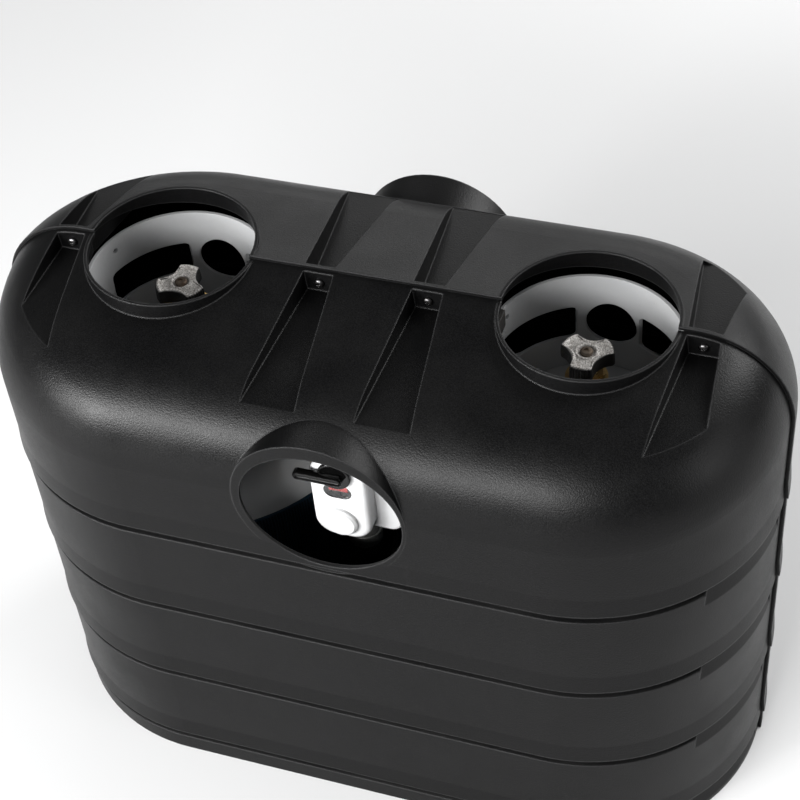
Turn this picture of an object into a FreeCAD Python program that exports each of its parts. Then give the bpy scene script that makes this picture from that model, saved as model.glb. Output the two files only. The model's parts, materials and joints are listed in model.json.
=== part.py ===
import FreeCAD, Part
import math
import os
import re
import Sketcher

from FreeCAD import Placement, Rotation, Vector

# Two-piece moulded cover over two LP-gas cylinders on a trailer rack.
# Millimetres. +Z up, -Y the front with the regulator window, origin on the deck
# below the middle of the cover. Heights above the cylinders count from the deck.

os.makedirs("parts", exist_ok=True)
doc = FreeCAD.newDocument("gas_cylinder_cover")
sheet = doc.addObject("Spreadsheet::Sheet", "Sheet")

DIMENSIONS = [
    # cover
    ("ridge_height", 500.0, "deck to the ridge of the front half"),
    ("cover_wall", 3.0, "moulded wall"),
    ("end_centre", 176.0, "middle to the centre of each round end"),
    ("end_radius", 165.0, "plan radius of each round end, front half"),
    ("lap_step", 3.2, "how far the rear half stands outside the front half"),
    ("lap_depth", 8.0, "tongue of the front half under the rear half"),
    ("roof_angle", 10.7, "fall of the roof from the ridge, degrees"),
    ("shoulder_radius", 80.0, "round between roof and wall"),
    ("hand_hole_offset", 178.0, "middle to the centre of each hand hole"),
    ("hand_hole_radius", 70.5, "inside of the hand hole rim"),
    ("hood_radius", 73.5, "outside of the window hood"),
    ("hood_drop", 101.5, "ridge to the middle of the hood mouth"),
    ("hood_face", 166.0, "seam to the front of the hood"),
    ("hood_rise", 7.0, "climb of the hood towards its mouth, degrees"),
    ("window_shift", 2.0, "middle of the window, to the right"),
    ("window_half_width", 68.3, "window, sideways"),
    ("window_half_height", 63.0, "window, upwards"),
    ("groove_drop", 170.0, "ridge to the first groove"),
    ("groove_pitch", 101.0, "groove to groove"),
    ("groove_count", 4.0, "grooves down the wall"),
    ("groove_depth", 4.5, "groove, inwards"),
    ("groove_height", 7.0, "groove, upwards"),
    ("groove_flare", 1.5, "lip of the wall above each groove"),
    ("end_groove_depth", 6.0, "wide end groove, inwards"),
    ("end_groove_height", 22.0, "wide end groove, upwards"),
    ("end_groove_start", 300.0, "middle to the start of the wide groove"),
    ("seam_land", 12.0, "plain wall each side of the seam"),
    ("tab_height", 19.5, "screw tab below the ridge"),
    ("tab_wall", 3.0, "screw tab thickness"),
    ("channel_fall", 0.089, "slope of the channel floor"),
    ("inner_screw_offset", 46.5, "middle to the inner seam screws"),
    ("outer_screw_offset", 269.5, "middle to the outer seam screws"),
    ("screw_drop", 11.0, "ridge to the seam screws"),
    ("screw_radius", 2.0, "seam screw shank"),
    # cylinders
    ("tank_offset", 176.0, "middle to each cylinder axis"),
    ("tank_radius", 153.5, "cylinder outside"),
    ("tank_wall", 2.6, "cylinder steel"),
    ("tank_foot", 13.0, "deck to the foot of each cylinder"),
    ("dome_depth", 76.75, "two-to-one end"),
    ("dome_top", 380.0, "deck to the top of the upper end"),
    ("dome_bottom", 36.0, "deck to the bottom of the lower end"),
    ("weld_height", 208.0, "deck to the girth weld"),
    ("foot_radius", 101.5, "foot ring outside"),
    ("foot_top", 54.0, "deck to the top of the foot ring"),
    ("collar_radius", 80.5, "collar outside"),
    ("collar_wall", 2.8, "collar steel"),
    ("collar_low", 369.6, "deck to the foot of the collar"),
    ("collar_top", 470.0, "deck to the top of the collar"),
    ("collar_gap", 84.0, "open front of the collar, degrees"),
    ("grip_low", 402.0, "deck to the bottom of the hand slots"),
    ("grip_height", 34.0, "hand slot, upwards"),
    ("grip_width", 76.0, "hand slot, straight across"),
    ("grip_corner", 5.0, "hand slot corner"),
    ("collar_hole_radius", 22.0, "round hole at the back of the collar"),
    ("collar_hole_height", 419.0, "deck to the round hole"),
    ("net_wall", 0.5, "net sleeve"),
    ("net_low", 120.0, "deck to the bottom of the net sleeve"),
    ("net_top", 314.0, "deck to the top of the net sleeve"),
    # valve
    ("boss_radius", 26.0, "welded valve boss"),
    ("boss_top", 395.0, "deck to the top of the boss"),
    ("neck_radius", 13.0, "threaded neck of the valve"),
    ("valve_radius", 17.5, "valve barrel"),
    ("valve_top", 433.0, "deck to the top of the valve barrel"),
    ("outlet_height", 413.5, "deck to the outlet axis"),
    ("outlet_radius", 16.0, "outlet thread outside"),
    ("outlet_reach", 50.0, "valve axis to the outlet mouth"),
    ("chamber_radius", 6.5, "plug chamber"),
    ("seat_height", 407.0, "deck to the valve seat"),
    ("plug_low", 407.4, "deck to the foot of the seat plug, closed"),
    ("plug_top", 425.6, "deck to the top of the seat plug, closed"),
    ("plug_lift", 3.0, "travel of the seat plug"),
    ("bonnet_flats", 13.5, "bonnet nut across corners, half"),
    ("bonnet_top", 445.0, "deck to the top of the bonnet"),
    ("spindle_radius", 4.0, "upper spindle"),
    ("wheel_radius", 23.0, "handwheel lobe"),
    ("wheel_low", 447.0, "deck to the underside of the handwheel"),
    ("wheel_height", 14.0, "handwheel thickness"),
    ("wheel_scoop_radius", 19.5, "round bite between two lobes"),
    ("wheel_scoop_offset", 32.0, "axis to the centre of a bite"),
    ("pivot_offset", 14.0, "valve axis to the float pivot"),
    ("pivot_height", 342.0, "deck to the float pivot"),
    ("float_reach", 92.0, "pivot to the middle of the float"),
    # rack
    ("tray_half_length", 290.0, "tray, sideways"),
    ("tray_half_width", 106.0, "tray, front to back"),
    ("tray_sheet", 2.5, "tray steel"),
    ("tray_slot_x", 240.0, "frame bolts, sideways spacing"),
    ("tray_slot_y", 60.0, "frame bolts, front to back spacing"),
    ("tray_bolt_radius", 5.5, "frame bolt holes"),
    ("hose_notch_half", 28.0, "notch for the hose below the gas outlet, sideways"),
    ("hose_notch_depth", 46.0, "notch for the hose, front to back"),
    ("rod_radius", 4.75, "centre rod"),
    ("rod_top", 457.0, "deck to the top of the centre rod"),
    ("bar_height", 425.0, "deck to the middle of the hold-down bar"),
    ("bar_sheet", 5.0, "hold-down bar steel"),
    ("bar_half_width", 16.0, "hold-down bar, front to back"),
    ("bar_reach", 104.5, "middle to the end of the hold-down bar"),
    # regulator
    ("regulator_face", 134.0, "seam to the front of the regulator"),
    ("regulator_back", 76.0, "seam to the back of the regulator"),
    ("regulator_joint", 104.0, "seam to the joint of body and cover"),
    ("regulator_left", -19.0, "left side of the front block"),
    ("regulator_right", 30.0, "right side of the front block"),
    ("regulator_top", 422.0, "deck to the top of the regulator"),
    ("regulator_low", 334.0, "deck to the foot of the regulator"),
    ("outlet_end", 286.0, "deck to the end of the gas outlet"),
    ("outlet_fitting_radius", 14.5, "gas outlet fitting"),
    ("shoulder_right", 52.0, "right side of the set-back block"),
    ("shoulder_face", 118.0, "seam to the front of the set-back block"),
    ("shoulder_low", 334.0, "deck to the foot of the set-back block"),
    ("lever_x", 5.0, "middle to the lever axis"),
    ("lever_height", 411.5, "deck to the lever axis"),
    ("lever_reach", 33.0, "lever axis to the tip"),
    ("cap_height", 355.0, "deck to the adjusting cap"),
    ("cap_radius", 14.5, "adjusting cap"),
]

NAMES = [name for name, _, _ in DIMENSIONS]
for row, (name, number, note) in enumerate(DIMENSIONS, start=1):
    sheet.set("A%d" % row, name)
    sheet.set("B%d" % row, str(number))
    sheet.set("C%d" % row, note)
    sheet.setAlias("B%d" % row, name)
doc.recompute()

SIZE = {name: float(sheet.get(name)) for name in NAMES}
SIDES = (("left", -1), ("right", 1))
ALONG_FRONT = Rotation(Vector(1, 0, 0), 90)
ALONG_BACK = Rotation(Vector(1, 0, 0), -90)
ALONG_RIGHT = Rotation(Vector(0, 1, 0), 90)
ALONG_LEFT = Rotation(Vector(0, 1, 0), -90)
nodes = []


def cells(text):
    """An expression in plain alias names, as the document wants it."""
    def full(word):
        return "Sheet." + word.group(0) if word.group(0) in NAMES else word.group(0)

    return re.sub(r"[a-z_]{3,}", full, str(text))


def place(obj, at, turn=None):
    """Put an object at three expressions, turned by a fixed rotation."""
    obj.Placement = Placement(Vector(0, 0, 0), turn or Rotation())
    for axis, text in zip("xyz", at):
        obj.setExpression("Placement.Base." + axis, cells(text))
    return obj


def keep(obj, label):
    """Name an object as a sub-part of the model."""
    obj.Label = label
    nodes.append(obj)
    return obj


# ---------------------------------------------------------------- primitives

def primitive(kind, at, turn=None, **sizes):
    obj = doc.addObject("Part::" + kind, kind.lower())
    for prop, text in sizes.items():
        obj.setExpression(prop, cells(text))
    return place(obj, at, turn)


def rod(radius, height, at, turn=None):
    return primitive("Cylinder", at, turn, Radius=radius, Height=height)


def box(low, size, turn=None):
    return primitive("Box", low, turn, Length=size[0], Width=size[1], Height=size[2])


def hexagon(corner, height, at, turn=None):
    obj = primitive("Prism", at, turn, Circumradius=corner, Height=height)
    obj.Polygon = 6
    return obj


def cut(base, tool):
    obj = doc.addObject("Part::Cut", "cut")
    obj.Base = base
    obj.Tool = tool
    return obj


def cut_all(base, tools):
    for tool in tools:
        base = cut(base, tool)
    return base


def fuse(parts):
    obj = doc.addObject("Part::MultiFuse", "fuse")
    obj.Shapes = parts
    return obj


def group(parts):
    """Several separate solids as one object."""
    obj = doc.addObject("Part::Compound", "group")
    obj.Links = parts
    return obj


def pipe(outer, inner, height, at, turn=None):
    return cut(rod(outer, height, at, turn), rod(inner, height, at, turn))


# ------------------------------------------------------- bodies and sketches

def body(at, turn=None):
    return place(doc.addObject("PartDesign::Body", "body"), at, turn)


def sketch(owner, role, height="0"):
    drawing = owner.newObject("Sketcher::SketchObject", "sketch")
    support = [plane for plane in owner.Origin.OriginFeatures if plane.Role == role][0]
    drawing.AttachmentSupport = [(support, "")]
    drawing.MapMode = "FlatFace"
    drawing.setExpression("AttachmentOffset.Base.z", cells(height))
    return drawing


def outline(drawing, points):
    """A closed outline through points, each a pair of expressions."""
    start = drawing.GeometryCount
    count = len(points)
    turn = 2 * math.pi / count
    rough = [Vector(10 * math.cos(i * turn), 10 * math.sin(i * turn), 0) for i in range(count)]
    for i in range(count):
        drawing.addGeometry(Part.LineSegment(rough[i], rough[(i + 1) % count]), False)
    for i in range(count):
        follower = start + (i + 1) % count
        drawing.addConstraint(Sketcher.Constraint("Coincident", start + i, 2, follower, 1))
        pin_point(drawing, start + i, 1, points[i])


def circle(drawing, centre, radius):
    """A circle about a pair of expressions."""
    index = drawing.addGeometry(Part.Circle(Vector(1, 1, 0), Vector(0, 0, 1), 1), False)
    pin_point(drawing, index, 3, centre)
    number = drawing.addConstraint(Sketcher.Constraint("Radius", index, 1.0))
    drawing.setExpression("Constraints[%d]" % number, cells(radius))


def pin_point(drawing, index, position, at):
    """Hold a sketch point at two expressions from the sketch origin."""
    for kind, text in zip(("DistanceX", "DistanceY"), at):
        number = drawing.addConstraint(Sketcher.Constraint(kind, -1, 1, index, position, 1.0))
        drawing.setExpression("Constraints[%d]" % number, cells(text))


def turned(profile, at, turn=None):
    """A body turned about its own Z through a profile of (radius, height) pairs."""
    owner = body(at, turn)
    drawing = sketch(owner, "XZ_Plane")
    outline(drawing, profile)
    spin = owner.newObject("PartDesign::Revolution", "spin")
    spin.Profile = drawing
    spin.ReferenceAxis = (drawing, ["V_Axis"])
    spin.Angle = 360
    return owner


def padded(role, points, thickness, at, turn=None, both=False):
    """A body padded from an outline on one of its origin planes."""
    owner = body(at, turn)
    drawing = sketch(owner, role)
    outline(drawing, points)
    pad = owner.newObject("PartDesign::Pad", "pad")
    pad.Profile = drawing
    pad.Midplane = both
    pad.setExpression("Length", cells(thickness))
    return owner


def soften(owner, radius, chooser):
    """Round the edges of a body that the chooser picks."""
    doc.recompute()
    base = owner.Tip
    names = ["Edge%d" % i for i, edge in enumerate(base.Shape.Edges, start=1) if chooser(edge)]
    round_edge = owner.newObject("PartDesign::Fillet", "soften")
    round_edge.Base = (base, names)
    round_edge.setExpression("Radius", cells(radius))
    return owner


def upright(edge):
    """A straight edge along the body's Y."""
    span = edge.BoundBox
    return span.XLength < 1e-6 and span.ZLength < 1e-6


# ---------------------------------------------------------------- the cover

def stadium(grow, height):
    """Plan outline of the cover, grown outwards, at one height."""
    centre = SIZE["end_centre"]
    radius = SIZE["end_radius"] + grow
    front_left = Vector(-centre, -radius, height)
    front_right = Vector(centre, -radius, height)
    back_right = Vector(centre, radius, height)
    back_left = Vector(-centre, radius, height)
    return Part.Wire([
        Part.LineSegment(front_left, front_right).toShape(),
        Part.Arc(front_right, Vector(centre + radius, 0, height), back_right).toShape(),
        Part.LineSegment(back_right, back_left).toShape(),
        Part.Arc(back_left, Vector(-centre - radius, 0, height), front_left).toShape(),
    ])


def band(low, low_grow, high, high_grow):
    """A band of wall between two heights, each with its own growth."""
    return Part.makeLoft([stadium(low_grow, low), stadium(high_grow, high)], True, True)


def block(x_low, x_high, y_low, y_high, z_low, z_high):
    return Part.makeBox(x_high - x_low, y_high - y_low, z_high - z_low, Vector(x_low, y_low, z_low))


def roofed(grow):
    """Everything under the front roof, with the round shoulder."""
    far = 1000.0
    top = SIZE["ridge_height"]
    low = top - SIZE["groove_drop"] + 20.0
    sky = block(-far, far, -far, far, 0, far)
    sky.rotate(Vector(0, 0, 0), Vector(1, 0, 0), SIZE["roof_angle"])
    lift = grow / math.cos(math.radians(SIZE["roof_angle"]))
    sky.translate(Vector(0, 0, top + lift))
    tall = Part.Face(stadium(grow, low)).extrude(Vector(0, 0, 260))
    tall = tall.cut(sky)
    roof = [face for face in tall.Faces if 0.9 < abs(face.normalAt(0, 0).z) < 0.999][0]
    return tall.makeFillet(SIZE["shoulder_radius"] + grow, roof.Edges)


def groove_heights():
    first = SIZE["ridge_height"] - SIZE["groove_drop"]
    return [first - i * SIZE["groove_pitch"] for i in range(int(SIZE["groove_count"]))]


def grooves(grow, skin):
    """Rings that cut the grooves; skin widens them for the inside of the wall."""
    outside = 12.0
    depth = -SIZE["groove_depth"] + grow - skin
    end_depth = -SIZE["end_groove_depth"] + grow - skin
    far = SIZE["end_centre"] + SIZE["end_radius"] + 40
    land = SIZE["seam_land"] - skin
    rings = []
    for high in groove_heights():
        low = high - SIZE["groove_height"]
        ring = band(low - skin, outside, high + skin, outside)
        ring = ring.cut(band(low - skin, depth, high + skin, depth))
        slope = band(low - 2.0 - skin, outside, low - skin, outside)
        slope = slope.cut(band(low - 2.0 - skin, grow - skin, low - skin, depth))
        wide_low = high - SIZE["end_groove_height"]
        wide = band(wide_low - skin, outside, high + skin, outside)
        wide = wide.cut(band(wide_low - skin, grow - skin, high + skin, end_depth))
        start = SIZE["end_groove_start"] - skin
        ends = block(start, far, -far, far, 0, far).fuse(block(-far, -start, -far, far, 0, far))
        rings.append(ring.fuse([slope, wide.common(ends)]))
    seam = block(-far, far, -land, land, 0, far)
    return rings[0].fuse(rings[1:]).cut(seam)


def walls(grow, flare):
    """The upright walls below the shoulder, with a lip above each groove."""
    edge = SIZE["ridge_height"] - SIZE["groove_drop"] + 20.0
    pieces = []
    for high in groove_heights():
        pieces.append(band(high, grow + flare, high + 20.0, grow))
        low = max(high - SIZE["groove_pitch"] + 20.0, 0.0)
        pieces.append(band(low, grow, high, grow))
    return pieces, edge


def channel(x_in, x_out, far_in, far_out, far_y, skin, wall_y):
    """The sloping recess in front of one screw tab, widening away from the seam."""
    top = SIZE["ridge_height"]
    near_floor = top - SIZE["tab_height"] - skin
    far_floor = near_floor - SIZE["channel_fall"] * (far_y - SIZE["tab_wall"])
    near = -wall_y if skin == 0 else 5.0
    lean = 3.0

    def frame(low_z, far_z, extra):
        grow = extra + skin
        corners = [Vector(x_in - grow, near, low_z), Vector(x_out + grow, near, low_z),
                   Vector(far_out + grow, -far_y, far_z), Vector(far_in - grow, -far_y, far_z)]
        return Part.makePolygon(corners + corners[:1])

    return Part.makeLoft([frame(near_floor, far_floor, 0.0), frame(top + 25, top + 25, lean)], True, True)


def channels(skin, wall_y):
    inner = SIZE["inner_screw_offset"]
    outer = SIZE["outer_screw_offset"]
    cutters = []
    for side in (-1, 1):
        for near, far, far_y in (((inner - 11.5, inner + 11.5), (24.0, 71.0), 135.0),
                                 ((outer - 12.0, outer + 12.0), (246.0, 290.0), 112.0)):
            near = sorted(side * x for x in near)
            far = sorted(side * x for x in far)
            cutters.append(channel(near[0], near[1], far[0], far[1], far_y, skin, wall_y))
    return cutters


def hood(radius, face, lean):
    """The round hood, climbing towards its mouth, which leans back to the wall below."""
    axis_height = SIZE["ridge_height"] - SIZE["hood_drop"]
    rise = math.radians(SIZE["hood_rise"])
    forward = Vector(0, -math.cos(rise), math.sin(rise))
    tube = Part.makeCylinder(radius, 140, Vector(0, -face, axis_height) - forward * 100, forward)
    ahead = block(-200, 200, -200, 0, -300, 300)
    ahead.rotate(Vector(0, 0, 0), Vector(1, 0, 0), lean)
    ahead.translate(Vector(0, -face, axis_height + SIZE["hood_radius"]))
    return tube.cut(ahead)


def hand_holes(radius, low, high):
    return [Part.makeCylinder(radius, high - low, Vector(side * SIZE["hand_hole_offset"], 0, low))
            for side in (-1, 1)]


def half_shell(step, gap):
    """A front half whose outside stands a step outside the nominal outline."""
    tab_y = SIZE["tab_wall"] + gap
    wall = SIZE["cover_wall"]
    top = SIZE["ridge_height"]
    far = 600.0
    face = SIZE["hood_face"] + step
    proud = SIZE["hood_face"] - SIZE["end_radius"]
    lean = math.degrees(math.atan2(proud, 2 * SIZE["hood_radius"]))

    pieces, edge = walls(step, SIZE["groove_flare"])
    outside = roofed(step).fuse(pieces)
    outside = outside.cut(grooves(step, 0.0))
    outside = outside.cut(channels(0.0, tab_y))
    outside = outside.fuse(hood(SIZE["hood_radius"], face, lean))

    inner_walls = [band(-1.0, step - wall, edge, step - wall)]
    inside = roofed(step - wall).fuse(inner_walls)
    inside = inside.cut(grooves(step, wall))
    inside = inside.cut(channels(wall, tab_y))
    inside = inside.fuse(hood(SIZE["hood_radius"] - wall, face - wall, lean))

    rims = [rim.cut(inside) for rim in hand_holes(SIZE["hand_hole_radius"] + wall, top - 40, top + step)]
    bores = hand_holes(SIZE["hand_hole_radius"], top - 60, top + 60)
    window = Part.Ellipse(Vector(0, 0, 0), SIZE["window_half_width"], SIZE["window_half_height"])
    window = Part.Face(Part.Wire(window.toShape())).extrude(Vector(0, 0, 60))
    window.rotate(Vector(0, 0, 0), Vector(1, 0, 0), 90)
    window.translate(Vector(SIZE["window_shift"], -140, top - SIZE["hood_drop"] - 2.0))

    shell = outside.cut(inside).fuse(rims).cut(bores + [window])
    return shell.cut(block(-far, far, -gap, far, -10, top + 260))


def tongue():
    """The strip of the front half that runs on under the rear half."""
    wall = SIZE["cover_wall"]
    top = SIZE["ridge_height"]
    strip = roofed(0.0).fuse([band(0.0, 0.0, top - SIZE["groove_drop"] + 20.0, 0.0)])
    hollow = roofed(-wall).fuse([band(-1.0, -wall, top - SIZE["groove_drop"] + 20.0, -wall)])
    strip = strip.cut(hollow).common(block(-600, 600, -SIZE["lap_depth"], 0, 0, top + 60))
    clear = hand_holes(SIZE["hand_hole_radius"] + wall + 0.5, top - 60, top + 60)
    for offset in (SIZE["inner_screw_offset"], SIZE["outer_screw_offset"]):
        for side in (-1, 1):
            clear.append(block(side * offset - 20, side * offset + 20, -40, 1, top - 60, top + 60))
    strip = strip.cut(clear)
    return strip.mirror(Vector(0, 0, 0), Vector(0, 1, 0))


def screw_holes(radius):
    height = SIZE["ridge_height"] - SIZE["screw_drop"]
    offsets = [side * SIZE[name] for name in ("inner_screw_offset", "outer_screw_offset") for side in (-1, 1)]
    return [Part.makeCylinder(radius, 40, Vector(x, 20, height), Vector(0, -1, 0)) for x in offsets]


def cover_half(label, shape):
    half = doc.addObject("Part::Feature", label)
    half.Shape = shape.removeSplitter()
    half.Placement = Placement(Vector(0, 0, 0), Rotation())
    keep(half, label)


def cover():
    holes = screw_holes(SIZE["screw_radius"] + 0.25)
    front = half_shell(0.0, 0.0).fuse(tongue())
    cover_half("front_shell", front.cut(holes))
    rear = half_shell(SIZE["lap_step"], SIZE["lap_step"] - SIZE["cover_wall"])
    rear = rear.mirror(Vector(0, 0, 0), Vector(0, 1, 0))
    cover_half("rear_shell", rear.cut(holes))


def seam_fasteners():
    """Four screws through the tabs of both halves, each with its nut."""
    screws = []
    nuts = []
    height = "ridge_height - screw_drop"
    for offset in ("inner_screw_offset", "outer_screw_offset"):
        for _, side in SIDES:
            x = "%d * %s" % (side, offset)
            head = turned([("0", "0"), ("screw_radius", "0"), ("screw_radius", "12"),
                           ("2.2 * screw_radius", "12"), ("2.2 * screw_radius", "13.2"),
                           ("1.5 * screw_radius", "14.8"), ("0", "15.2")], (x, "9", height), ALONG_FRONT)
            slot = box(("%s - 3.2" % x, "-7", "%s - 0.5" % height), ("6.4", "1.7", "1"))
            screws.append(cut(head, slot))
            nut = hexagon("2 * screw_radius", "3.2", (x, "6.4", height), ALONG_FRONT)
            nuts.append(cut(nut, rod("screw_radius", "5", (x, "7", height), ALONG_FRONT)))
    keep(group(screws), "seam_screws")
    keep(group(nuts), "seam_nuts")


# ------------------------------------------------------------- the cylinders

def dome(radius, depth, height, upper):
    """Solid end of a cylinder: half an ellipsoid standing on its rim at one height."""
    sign = 1 if upper else -1
    quarter = Part.Arc(Part.Ellipse(Vector(0, 0, 0), radius, depth), 0, math.pi / 2).toShape()
    quarter = Part.Wire([quarter, Part.LineSegment(Vector(0, depth, 0), Vector(0, 0, 0)).toShape(),
                         Part.LineSegment(Vector(0, 0, 0), Vector(radius, 0, 0)).toShape()])
    face = Part.Face(quarter)
    face.rotate(Vector(0, 0, 0), Vector(1, 0, 0), 90 * sign)
    solid = face.revolve(Vector(0, 0, 0), Vector(0, 0, 1), 360)
    solid.translate(Vector(0, 0, height))
    return solid


def tank_half(label, side, upper):
    """One deep-drawn half of a cylinder, open at the girth weld."""
    radius = SIZE["tank_radius"]
    wall = SIZE["tank_wall"]
    depth = SIZE["dome_depth"]
    weld = SIZE["weld_height"]
    rim = SIZE["dome_top"] - depth if upper else SIZE["dome_bottom"] + depth
    low, high = sorted((weld, rim))
    outside = dome(radius, depth, rim, upper).fuse(Part.makeCylinder(radius, high - low, Vector(0, 0, low)))
    inside = dome(radius - wall, depth - wall, rim, upper)
    inside = inside.fuse(Part.makeCylinder(radius - wall, high - low, Vector(0, 0, low)))
    shell = outside.cut(inside)
    if upper:
        shell = shell.cut(Part.makeCylinder(20, 40, Vector(0, 0, SIZE["dome_top"] - 20)))
    half = doc.addObject("Part::Feature", "tank_half")
    half.Shape = shell
    place(half, ("%d * tank_offset" % side, "0", "0"))
    keep(half, label)


def net_sleeve(name, side):
    """The protective net sleeve that new cylinders come in, as one thin sleeve."""
    radius = SIZE["tank_radius"]
    grow = SIZE["net_wall"]
    depth = SIZE["dome_depth"]
    rim = SIZE["dome_top"] - depth
    low = SIZE["net_low"]
    outside = dome(radius + grow, depth + grow, rim, True)
    outside = outside.fuse(Part.makeCylinder(radius + grow, rim - low, Vector(0, 0, low)))
    inside = dome(radius, depth, rim, True)
    inside = inside.fuse(Part.makeCylinder(radius, rim - low, Vector(0, 0, low)))
    high = SIZE["net_top"]
    sleeve = outside.cut(inside).cut(Part.makeCylinder(radius + 10, 200, Vector(0, 0, high)))
    net = doc.addObject("Part::Feature", "net")
    net.Shape = sleeve
    place(net, ("%d * tank_offset" % side, "0", "0"))
    keep(net, name + "_net_sleeve")


def rounded_slot(width, height, corner, reach, at):
    """A rounded rectangle standing on XZ, run along -Y, as a cutting tool."""
    owner = body(at)
    drawing = sketch(owner, "XZ_Plane")
    outline(drawing, [("-%s / 2" % width, "0"), ("%s / 2" % width, "0"),
                      ("%s / 2" % width, height), ("-%s / 2" % width, height)])
    pad = owner.newObject("PartDesign::Pad", "pad")
    pad.Profile = drawing
    pad.setExpression("Length", cells(reach))
    return soften(owner, corner, upright)


def collar(name, side):
    """Rolled collar, open in front, with two hand slots and a round hole behind."""
    centre = ("0", "0")
    owner = body(("0", "0", "collar_low"))
    drawing = sketch(owner, "XY_Plane")
    circle(drawing, centre, "collar_radius")
    circle(drawing, centre, "collar_radius - collar_wall")
    pad = owner.newObject("PartDesign::Pad", "pad")
    pad.Profile = drawing
    pad.setExpression("Length", cells("collar_top - collar_low"))
    mouth = primitive("Cylinder", ("0", "0", "collar_low - 1"), None,
                      Radius="collar_radius + 20", Height="collar_top", Angle="collar_gap")
    mouth.Placement.Rotation = Rotation(Vector(0, 0, 1), -90 - SIZE["collar_gap"] / 2)
    tools = [mouth]
    for turn in (-49, 49):
        slot = rounded_slot("grip_width", "grip_height", "grip_corner", "60",
                            ("0", "0", "grip_low"))
        slot.Placement.Rotation = Rotation(Vector(0, 0, 1), 180 + turn)
        reach = SIZE["collar_radius"] - 30
        slot.setExpression("Placement.Base.x", "%.4f" % (-reach * math.sin(math.radians(turn))))
        slot.setExpression("Placement.Base.y", "%.4f" % (reach * math.cos(math.radians(turn))))
        tools.append(slot)
    tools.append(rod("collar_hole_radius", "60", ("2", "100", "collar_hole_height"), ALONG_FRONT))
    tools.append(rod("2.5", "40", ("-90", "26", "collar_top - 13"), ALONG_RIGHT))
    ring = cut_all(owner, tools)
    keep(place(group([ring]), ("%d * tank_offset" % side, "0", "0")), name + "_collar")


def foot_ring(name, side):
    """Rolled foot ring under the lower end, with drain slots."""
    ring = turned([("foot_radius - 2.8", "0"), ("foot_radius + 2", "0"), ("foot_radius + 2", "2.8"),
                   ("foot_radius", "2.8"), ("foot_radius", "foot_top - tank_foot"),
                   ("foot_radius - 2.8", "foot_top - tank_foot")], ("0", "0", "tank_foot"))
    drains = [box(("-130", "-9", "tank_foot + 12"), ("260", "18", "8")),
              box(("-9", "-130", "tank_foot + 12"), ("18", "260", "8"))]
    keep(place(group([cut_all(ring, drains)]), ("%d * tank_offset" % side, "0", "0")), name + "_foot_ring")


def valve(name, side):
    """Overfill-protected cylinder valve, outlet to the front, relief valve behind."""
    x = "%d * tank_offset" % side
    axis = (x, "0", "0")

    boss = turned([("neck_radius + 0.1", "372"), ("19.8", "372"), ("19.8", "dome_top - 0.4"),
                   ("boss_radius", "dome_top - 0.4"), ("boss_radius", "boss_top - 2"),
                   ("boss_radius - 2", "boss_top"), ("neck_radius + 0.1", "boss_top")], axis)
    keep(boss, name + "_valve_boss")

    barrel = turned([("0", "boss_top - 22"), ("neck_radius", "boss_top - 22"), ("neck_radius", "boss_top"),
                     ("valve_radius", "boss_top"), ("valve_radius", "valve_top"), ("0", "valve_top")], axis)
    outlet = rod("outlet_radius", "outlet_reach", (x, "0", "outlet_height"), ALONG_FRONT)
    relief_boss = rod("10", "23", (x, "0", "outlet_height"), ALONG_BACK)
    bleed_boss = rod("5", "24", (x, "0", "outlet_height"), ALONG_RIGHT)
    bores = [
        rod("chamber_radius", "valve_top - seat_height + 5", (x, "0", "seat_height")),
        rod("9", "outlet_reach - 12", (x, "-14", "outlet_height"), ALONG_FRONT),
        rod("4", "22", (x, "0", "outlet_height"), ALONG_FRONT),
        rod("4", "seat_height - boss_top + 26", (x, "0", "boss_top - 24")),
        rod("6.1", "12", (x, "12", "outlet_height"), ALONG_BACK),
        rod("2.6", "12", ("%s + 13" % x, "0", "outlet_height"), ALONG_RIGHT),
    ]
    keep(cut_all(fuse([barrel, outlet, relief_boss, bleed_boss]), bores), name + "_valve_body")

    thread = rod("chamber_radius - 0.02", "4", (x, "0", "plug_top + plug_lift + 0.6"))
    nut = hexagon("bonnet_flats", "bonnet_top - valve_top", (x, "0", "valve_top"))
    bore = rod("spindle_radius + 0.3", "60", (x, "0", "400"))
    keep(cut(fuse([thread, nut]), bore), name + "_valve_bonnet")

    keep(turned([("0", "0"), ("6", "0"), ("6", "11"), ("8.6", "11"), ("8.6", "18"), ("7", "20"), ("0", "20")],
                (x, "12.2", "outlet_height"), ALONG_BACK), name + "_relief_valve")

    bleeder = turned([("0", "0"), ("2.3", "0"), ("2.3", "8"), ("4.2", "8"), ("4.2", "13"), ("0", "13")],
                     ("%s + 16.3" % x, "0", "outlet_height"), ALONG_RIGHT)
    slot = box(("%s + 27.6" % x, "-5", "outlet_height - 0.6"), ("2", "10", "1.2"))
    keep(cut(bleeder, slot), name + "_bleeder_screw")

    cap = turned([("7.5", "0"), ("8.7", "0"), ("8.7", "12.3"), ("outlet_radius + 4.5", "12.3"),
                  ("outlet_radius + 4.5", "15"), ("outlet_radius + 3", "17"), ("0", "17"), ("0", "14"),
                  ("7.5", "14")], (x, "-38", "outlet_height"), ALONG_FRONT)
    keep(cap, name + "_outlet_plug")


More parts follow.
